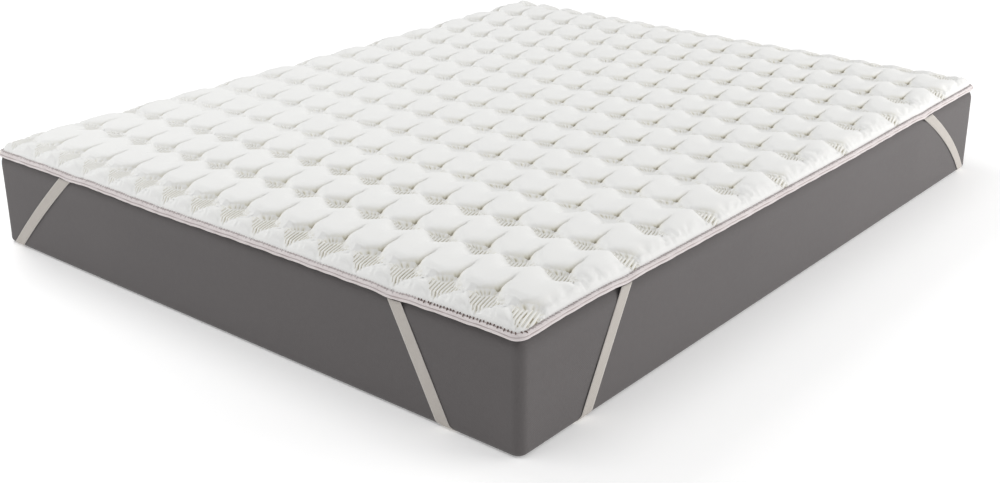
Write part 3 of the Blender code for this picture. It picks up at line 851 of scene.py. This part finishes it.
RIB_TURN = math.radians(15)  # of the ribs, from +X towards +Y
RIB_PITCH = 0.0072
RIB_HEIGHT = 0.0030  # of a rib's crest
RIB_SINK = 0.0004  # how far a fan's outline lies in the pad
RIB_GROOVE = 0.8 * 0.0034  # depth of the grooves between the ribs
GROOVE_WIDTH = 0.22  # of those, in pitches
RIB_SHADE = 1.45  # how deep the painted shade in them is, where 1 is as deep as in a crease
RIB_SAMPLES = 6  # across a rib
RIB_STATIONS = 9  # along it
RIB_EDGE = 0.11  # how far in from the side at -Y the diamonds are smocked
RIB_COLUMNS = (0, 1, 2)  # the columns of tufts that are smocked all along
RIB_SHARE = 0.97  # of a tuft's diamond that its fan fills
FAN_SEARCH = 0.06  # ribs are looked for this far from the diamond's middle
RIB_SEARCH = 0.08  # and their ends this far from their own
SEARCH_STEPS = 161


def make_ribs(pad, mat):
    """The smocked diamonds along two edges of the pad, each a fan of fine parallel ribs."""
    laid = Laid(pad)
    start = 0
    along = np.array([math.cos(RIB_TURN), math.sin(RIB_TURN)])
    over = np.array([-along[1], along[0]])
    for column, number, x, y in tufts():
        if column not in RIB_COLUMNS and y >= -OUTER_Y + RIB_EDGE:
            continue
        tail = float(tail_side(column)) * RIB_SHARE
        nose = float(nose_side(column)) * RIB_SHARE
        lines = []
        ts = np.linspace(-RIB_SEARCH, RIB_SEARCH, SEARCH_STEPS)
        for offset in np.arange(-FAN_SEARCH, FAN_SEARCH, RIB_PITCH / RIB_SAMPLES):
            base = over * offset
            dx, dy = base[0] + ts * along[0], base[1] + ts * along[1]
            across = np.abs(dy) / (TUFT_HALF_WIDTH * RIB_SHARE)
            inside = np.abs(dx) / np.where(dx > 0, nose, tail) + across < 1
            if inside.sum() < 3:
                continue
            low, high = ts[inside].min(), ts[inside].max()
            t = np.linspace(low, high, RIB_STATIONS)
            lines.append((offset, base[0] + t * along[0], base[1] + t * along[1]))
        for k, (offset, dx, dy) in enumerate(lines):
            place = offset / RIB_PITCH + 0.5 + 0.08 * math.sin(5.0 * chance(column, number) + 40 * offset)
            part = place - math.floor(place)
            groove = math.exp(-(((part - 0.5) / GROOVE_WIDTH) ** 2))
            share = np.linspace(0, 1, RIB_STATIONS)
            ends = smooth_step(0.0, 0.12, share) * (1 - smooth_step(0.88, 1.0, share))
            side = smooth_step(0, 3, k) * (1 - smooth_step(len(lines) - 4, len(lines) - 1, k))
            lift = (RIB_HEIGHT - RIB_GROOVE * groove) * ends * side - RIB_SINK
            # painted shade in the grooves between the ribs
            shade = min(RIB_SHADE * groove, 1.0) * ends * float(painted_shade_amount(y))
            laid.add_row(x + dx, y + dy, lift, shade)
        laid.faces += grid_faces(len(lines), RIB_STATIONS, start=start)
        start += len(lines) * RIB_STATIONS
    return laid.make("smocked_diamonds", mat)


# ---- binding ----

TAPE_STEP = 0.006  # between the binding's stations
TAPE_ARC_STEPS = 10  # of them round a corner
TAPE_INNER = 4  # points of its section on the inner face
TAPE_RIPPLE = 0.0004  # unevenness of the outer one


def rim_path():
    """Plan points round the outline of the pad's grid (x, y), and how far round each one is."""
    path, _ = round_walk(GRID_X, GRID_Y, GRID_RADIUS, TAPE_ARC_STEPS, TAPE_STEP)
    run = np.cumsum(np.r_[0, np.hypot(*np.diff(path, axis=0).T)])
    return path[:, 0], path[:, 1], run


def tape_section():
    """The folded tape: (inset, height above the pad's base, painted shade in its folds), outer face then
    inner face.
    """
    low, high = -TAPE_GAP, RIM_THICKNESS + TAPE_GAP
    top, foot = high + TAPE, low - TAPE
    tall = top - foot
    outer = [
        (TAPE_END, top - 0.0006, 0.35),
        (0.0092, top - 0.0001, 0.10),
        (0.0084, top - 0.0007, 0.90),
        (0.0076, top, 0.05),
        (0.0056, top + 0.0006, 0.0),
        (0.0036, top + 0.0001, 0.0),
        (0.0024, top - 0.10 * tall, 0.05),
        (0.0016, top - 0.20 * tall, 0.0),
        (0.0022, top - 0.29 * tall, 0.9),
        (0.0010, top - 0.38 * tall, 0.05),
        (0.0000, top - 0.52 * tall, 0.0),
        (0.0002, top - 0.66 * tall, 0.0),
        (0.0012, top - 0.82 * tall, 0.0),
        (0.0030, foot, 0.1),
        (0.0070, foot, 0.1),
        (TAPE_END, foot, 0.1),
    ]
    inner_side = TAPE_BULGE + TAPE
    inner = [
        (TAPE_END, low, 0.0),
        (inner_side, low, 0.0),
        (inner_side, high, 0.0),
        (TAPE_END, high, 0.0),
    ]
    return np.array(outer + inner)


def make_binding(mat):
    x, y, run = rim_path()
    section = tape_section()
    rows, cavities = [], []
    for k, (inset, height, painted_shade) in enumerate(section):
        ripple = 0.0
        if k < len(section) - TAPE_INNER:
            ripple = TAPE_RIPPLE * np.sin(run * 95.0 + 1.3 * k) * np.sin(run * 31.0)
        rows.append(at_inset(x, y, inset + ripple, height + ripple))
        cavities.append(np.full(len(x), painted_shade))
    points = np.stack(rows, axis=1)
    faces = grid_faces(len(x), len(section), wrap_columns=True, wrap_rows=True)
    obj = add_mesh("binding_tape", points, faces, mat)
    set_attribute(obj, "painted_shade", np.stack(cavities, axis=1))
    return obj, float(run[-1])


# ---- stitches ----


# of a thread: place along it, thickness and height of its middle, both in its radius
THREAD_STATIONS = ((0.0, 0.35, -0.5), (0.2, 0.9, 0.3), (0.5, 1.0, 1.0), (0.8, 0.9, 0.3), (1.0, 0.35, -0.5))
THREAD_SIDES = 5
STITCH_STEP = 0.0076  # between two whip stitches
STITCH_SLANT = 0.0022  # how far along the rim a stitch's outer end is from its inner one
DARK_RADIUS = 0.0013  # of the threads
PALE_RADIUS = 0.0007
DARK_END = -0.555  # the dark stitches run along the short side from here to the near corner
DARK_CORNER = (-0.975, -0.76)  # and a little round it


def make_threads(name, starts, ends, radius, mat, rise):
    """Short arched threads from each start to its end, as one mesh."""
    along = ends - starts
    length = np.linalg.norm(along, axis=1, keepdims=True)
    along = along / length
    side = np.cross(along, [0.0, 0.0, 1.0])
    side /= np.linalg.norm(side, axis=1, keepdims=True)
    up = np.cross(side, along)
    stations, sides = len(THREAD_STATIONS), THREAD_SIDES
    points = np.empty((len(starts), stations, sides, 3))
    for s, (t, thick, lift) in enumerate(THREAD_STATIONS):
        centre = starts + along * length * t + up * (radius * (lift + rise))
        for k in range(sides):
            angle = 2 * math.pi * k / sides
            reach = radius * thick
            points[:, s, k] = centre + side * (reach * math.cos(angle)) + up * (reach * math.sin(angle))
    bases = range(0, len(starts) * stations * sides, stations * sides)
    faces = [[base + k for k in face] for base in bases for face in tube_faces(stations, sides)]
    return add_mesh(name, points, faces, mat)


def make_rim_stitches(dark, pale):
    """Whip stitches over the binding's inner edge: dark ones up to the near corner, pale ones elsewhere."""
    x, y, run = rim_path()
    places = np.arange(TAPE_STEP, run[-1] - TAPE_STEP, STITCH_STEP)
    numbers = np.arange(len(places))
    places = places + 0.0012 * np.sin(2.4 * numbers) * np.sin(0.31 * numbers)
    at_x, at_y = (np.interp(places, run, part) for part in (x, y))
    next_x, next_y = (np.interp(places + STITCH_SLANT, run, part) for part in (x, y))
    top = RIM_THICKNESS + TAPE_GAP + TAPE
    inner = at_inset(at_x, at_y, TAPE_END + 0.0009, top - 0.0008)
    outer = at_inset(next_x, next_y, 0.0052 + 0.0014 * np.sin(3.7 * numbers), top - 0.0002)
    on_left = at_x < -GRID_X + 0.004
    round_it = (at_x < DARK_CORNER[0]) & (at_y < DARK_CORNER[1])
    is_dark = (on_left & (at_y < DARK_END)) | round_it
    parts = (("dark", is_dark, DARK_RADIUS, dark, 1.0), ("pale", ~is_dark, PALE_RADIUS, pale, 1.6))
    return [
        make_threads(shade + "_whip_stitches", inner[chosen], outer[chosen], radius, mat, rise)
        for shade, chosen, radius, mat, rise in parts
    ]


# ---- straps ----

LANES = np.linspace(-1, 1, 9)  # points across a strap
SIDE_LEVELS = 26  # rows of points down a side
FOOT_STEPS = 8  # and round the mattress's foot
EDGE_THINNING = 0.35  # how much thinner the woven edges are than the middle, as a share


def round_point(turn, radius, stand):
    reach = radius + stand
    return radius - reach * math.cos(turn), radius - reach * math.sin(turn)


def under_tape(strap, side, along):
    """Height of a strap's end, just under the binding, this far along the side from the corner."""
    edge = to_world(strap, side, (along, 0.0, 0.0))
    drop = float(rim_drop(edge[0], edge[1])) * (1 - TAPE_BULGE / DROP_REACH)
    return PAD_BASE - drop - TAPE_GAP - TAPE - STRAP_TOP_GAP


def half_strap(strap, side, stand_side, stand_foot, extra_width):
    """Rows of points (along the side, in from it, up) down one side and in under the corner."""
    other = "long" if side == "short" else "short"
    foot, other_foot = strap[side + "_foot"], strap[other + "_foot"]
    rise, bow = strap[side + "_top"] - foot, strap[side + "_bow"]
    half_width = strap["width"] / 2 + extra_width

    def middle_at(up):
        share = up / MATTRESS_HEIGHT
        return foot + rise * share - bow * 4 * share * (1 - share)

    def spread_at(up):
        slant = (rise - bow * 4 * (1 - 2 * up / MATTRESS_HEIGHT)) / MATTRESS_HEIGHT
        return half_width * math.hypot(1, slant)

    spread_foot = half_width * math.hypot(foot, other_foot) / other_foot
    tops = [under_tape(strap, side, strap[side + "_top"] + lane * half_width) for lane in LANES]
    rows = []
    for k in range(SIDE_LEVELS):
        row = []
        for lane, highest in zip(LANES, tops):
            up = highest + (FOOT_ROUND - highest) * k / SIDE_LEVELS
            row.append((middle_at(up) + lane * spread_at(up), -stand_side, up))
        rows.append(row)
    start, end = middle_at(FOOT_ROUND), foot * (1 - FOOT_ROUND / other_foot)
    for k in range(FOOT_STEPS + 1):
        share = k / FOOT_STEPS
        middle = start + (end - start) * share
        spread = spread_at(FOOT_ROUND) * (1 - share) + spread_foot * share
        stand = stand_side + (stand_foot - stand_side) * float(smooth_step(0.0, 1.0, share))
        inward, up = round_point(math.pi / 2 * share, FOOT_ROUND, stand)
        rows.append([(middle + lane * spread, inward, up) for lane in LANES])
    return rows


def to_world(strap, side, point):
    along, inward, up = point
    if along < CORNER_RADIUS:
        turn = 1 - along / CORNER_RADIUS
        reach = CORNER_RADIUS - inward
        along, inward = CORNER_RADIUS - reach * math.sin(turn), CORNER_RADIUS - reach * math.cos(turn)
    from_side, from_end = (inward, along) if side == "short" else (along, inward)
    return (strap["x"] * (HALF_LENGTH - from_side), strap["y"] * (HALF_WIDTH - from_end), up)


def strap_face(strap, stand_side, stand_foot, extra_width=0.0):
    """Points (stations, lanes, 3) of one face of a strap, from one top end to the other."""
    halves = []
    for side in ("short", "long"):
        rows = half_strap(strap, side, stand_side, stand_foot, extra_width)
        halves.append([[to_world(strap, side, point) for point in row] for row in rows])
    return np.array(halves[0] + halves[1][::-1])


def ribbon(inner, outer):
    """A closed ribbon's points (stations, around, 3) and its faces, from its two sides."""
    loop = np.concatenate([outer, inner[:, ::-1]], axis=1)
    return loop, tube_faces(*loop.shape[:2])


def make_strap(name, strap, mat):
    inner = strap_face(strap, STRAP_STANDOFF, -STRAP_FLOOR_GAP - STRAP_THICKNESS)
    outer = strap_face(strap, STRAP_STANDOFF + STRAP_THICKNESS, -STRAP_FLOOR_GAP)
    thin = 1 - EDGE_THINNING * (np.abs(LANES) == 1)
    loop, faces = ribbon(inner, inner + (outer - inner) * thin[None, :, None])
    stations, around = loop.shape[:2]
    obj = add_mesh("elastic_strap_" + name, loop, faces, mat)
    middle = inner[:, len(LANES) // 2]
    run = np.r_[0, np.cumsum(np.linalg.norm(np.diff(middle, axis=0), axis=1))]
    across = np.concatenate([LANES, LANES[::-1]])
    set_attribute(obj, "across", np.tile(across, (stations, 1)))
    set_attribute(obj, "run", np.tile(run[:, None], (1, around)))
    return obj, float(run[-1])


def press_grooves(cover):
    """Presses the straps' grooves into the underside of the mattress."""
    depth = -STRAP_FLOOR_GAP - STRAP_THICKNESS - GROOVE_GAP
    for strap in STRAPS.values():
        inner = strap_face(strap, STRAP_STANDOFF / 2, depth, GROOVE_SIDE)
        outer = strap_face(strap, GROOVE_DEEPER, GROOVE_DEEPER, GROOVE_SIDE)
        cutter = add_mesh("groove", *ribbon(inner, outer), cover.data.materials[0], triangles=True)
        cut = cover.modifiers.new("groove", "BOOLEAN")
        cut.operation = "DIFFERENCE"
        cut.solver = "EXACT"
        cut.object = cutter
        pressed = cover.evaluated_get(bpy.context.evaluated_depsgraph_get())
        old, mesh = cover.data, bpy.data.meshes.new_from_object(pressed)
        cover.modifiers.clear()
        cover.data = mesh
        bpy.data.meshes.remove(old)
        bpy.data.objects.remove(cutter)
    cover.data.name = cover.name
    cover.data.set_sharp_from_angle(angle=math.radians(40))


# ---- mattress ----

COVER_STEP = 0.010  # between the points of the mattress's outline
COVER_ARC_STEPS = 12  # of them round a corner
SIDE_RINGS = 24  # of them up its sides
ROUND_RINGS = 8  # and up each round edge
UNDERSIDE_INSETS = (0.26, 0.20, 0.15, 0.11, 0.08, 0.055, 0.040, 0.029, 0.021, 0.016)
SOFTNESS = 0.0012  # how far its sides are from flat


def cover_levels():
    """(height, how far the outline is drawn in there) from the middle of the underside to the top."""
    low, high = FOOT_ROUND, MATTRESS_HEIGHT - TOP_ROUND
    turns = [math.radians(90 * k / ROUND_RINGS) for k in range(ROUND_RINGS + 1)]
    levels = [(0.0, inset) for inset in UNDERSIDE_INSETS]
    levels += [(FOOT_ROUND * (1 - math.cos(turn)), FOOT_ROUND * (1 - math.sin(turn))) for turn in turns]
    levels += [(low + (high - low) * k / SIDE_RINGS, 0.0) for k in range(1, SIDE_RINGS)]
    levels += [(high + TOP_ROUND * math.sin(turn), TOP_ROUND * (1 - math.cos(turn))) for turn in turns]
    return levels


def make_cover(mat):
    """The mattress: a full block in a knitted cover, its sides a little uneven."""
    outline, ways = round_walk(HALF_LENGTH, HALF_WIDTH, CORNER_RADIUS, COVER_ARC_STEPS, COVER_STEP)
    high = MATTRESS_HEIGHT - TOP_ROUND
    most = CORNER_RADIUS * 0.9  # a ring further in than this shrinks towards the middle instead
    rings = []
    for height, drawn_in in cover_levels():
        plan = outline - ways * min(drawn_in, most)
        if drawn_in > most:
            scale_x = (HALF_LENGTH - drawn_in) / (HALF_LENGTH - most)
            scale_y = (HALF_WIDTH - drawn_in) / (HALF_WIDTH - most)
            plan = plan * np.array([scale_x, scale_y])
        x, y = plan[:, 0], plan[:, 1]
        on_side = smooth_step(0.0, 0.03, height) * (1 - smooth_step(high - 0.03, high, height))
        soft = SOFTNESS * np.sin(4.1 * x + 2.7 * y + 9.0 * height) * np.sin(7.3 * x - 5.9 * y) * on_side
        plan = plan - ways * np.abs(soft)[:, None]
        rings.append(np.column_stack([plan, np.full(len(plan), height)]))
    points = np.concatenate(rings + [[[0.0, 0.0, 0.0], [0.0, 0.0, MATTRESS_HEIGHT]]])
    faces = grid_faces(len(rings), len(outline), wrap_columns=True)
    first, top_middle = np.arange(len(outline)), len(points) - 1
    faces += fan_faces(first, top_middle - 1) + fan_faces(first + top_middle - 1 - len(outline), top_middle)
    return add_mesh("mattress_cover", points, faces, mat)


# ---- stage ----

CAMERA_PLACE = (-2.5728, -2.056, 1.2396)
CAMERA_TURN = (39.559, 20.143, -0.215)  # its yaw, its pitch down and its roll, in degrees
CAMERA_SHIFT = -0.0521
FOCAL_LENGTH = 1.3398  # in widths of the picture
SENSOR = 36.0
FLOOR_REACH = 40.0
FLOOR_LEVEL = -0.0005
FLOOR_GLOW = 0.20
WORLD_GLOW = 0.61
NEUTRAL = (1.0, 1.0, 1.0)
# name, place, what it points at, size, power and tint
LIGHTS = (
    ("key", (0.2, 4.4, 3.9), (0.1, 0.0, 0.2), (2.0, 2.0), 92.0, NEUTRAL),
    ("front", (-2.6, 0.8, 4.4), (-1.2, 0.2, 0.0), (2.6, 1.8), 40.0, NEUTRAL),
    ("side", (2.9, -4.6, 1.3), (0.8, 0.0, 0.1), (3.6, 1.6), 126.0, (1.0, 0.99, 0.98)),
    ("right_end", (3.0, -2.6, 1.1), (1.0, -0.6, 0.1), (1.2, 1.2), 14.0, (1.0, 0.985, 0.97)),
    ("left_end", (-2.6, 2.2, 1.0), (-1.0, 0.6, 0.1), (1.2, 1.2), 6.0, NEUTRAL),
)


def make_camera():
    """The photograph's own view."""
    yaw, pitch, roll = (math.radians(part) for part in CAMERA_TURN)
    forward = Vector((math.cos(yaw) * math.cos(pitch), math.sin(yaw) * math.cos(pitch), -math.sin(pitch)))
    right = Vector((math.sin(yaw), -math.cos(yaw), 0))
    up = right.cross(forward)
    turned_right = math.cos(roll) * right + math.sin(roll) * up
    turned_up = -math.sin(roll) * right + math.cos(roll) * up
    place = Matrix((turned_right, turned_up, -forward)).transposed().to_4x4()
    place.translation = Vector(CAMERA_PLACE)
    camera = bpy.data.objects.new("camera", bpy.data.cameras.new("camera"))
    bpy.context.scene.collection.objects.link(camera)
    camera.matrix_world = place
    camera.data.sensor_width = SENSOR
    camera.data.lens = FOCAL_LENGTH * SENSOR
    camera.data.shift_y = CAMERA_SHIFT
    bpy.context.scene.camera = camera


def make_light(name, place, target, size, power, tint):
    light = bpy.data.lights.new(name, "AREA")
    light.shape = "RECTANGLE"
    light.size, light.size_y = size
    light.energy = power
    light.color = tint
    obj = bpy.data.objects.new(name, light)
    bpy.context.scene.collection.objects.link(obj)
    obj.location = place
    obj.rotation_euler = (Vector(target) - Vector(place)).to_track_quat("-Z", "Y").to_euler()


def make_stage():
    n = Look("floor_white", (0.93, 0.93, 0.93), 0.6)
    n.roughness(n.spread(n.noise(4.0), 0.5, 0.65))
    n.feed(n.shader, {"Emission Color": NEUTRAL, "Emission Strength": FLOOR_GLOW})
    corners = ((-1, -1), (1, -1), (1, 1), (-1, 1))
    points = [(x * FLOOR_REACH, y * FLOOR_REACH, FLOOR_LEVEL) for x, y in corners]
    floor = add_mesh("floor", points, [[0, 1, 2, 3]], n.mat, closed=False)
    world = bpy.data.worlds.new("studio")
    world.use_nodes = True
    background = world.node_tree.nodes["Background"]
    background.inputs["Color"].default_value = (*NEUTRAL, 1.0)
    background.inputs["Strength"].default_value = WORLD_GLOW
    bpy.context.scene.world = world
    for light in LIGHTS:
        make_light(*light)
    bpy.context.scene.view_settings.view_transform = "Standard"


# ---- the object ----


def main():
    quilt = quilt_material()
    tape = tape_material()
    elastic = elastic_material()
    knit = knit_material()

    pad = Pad(quilt)
    pad.inflate()
    pad.read()
    pad.shade()
    folds = make_folds(pad, quilt)
    ribs = make_ribs(pad, quilt)
    for piece in (pad.obj, folds, ribs):
        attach(piece, "root")
    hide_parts("quilted_pad")

    binding, rim_length = make_binding(tape)
    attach(binding, "root")
    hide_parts("edge_binding")

    darks, pales = make_rim_stitches(
        thread_material("dark_thread", (0.17, 0.115, 0.10)),
        thread_material("pale_thread", (0.60, 0.55, 0.55)),
    )
    for piece in (darks, pales):
        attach(piece, "root")

    for name, strap in STRAPS.items():
        piece, length = make_strap(name, strap, elastic)
        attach(piece, "root")
        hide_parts("corner_strap_" + name)

    cover = make_cover(knit)
    press_grooves(cover)
    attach(cover, "root")
    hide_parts("mattress")

    make_stage()
    make_camera()


main()
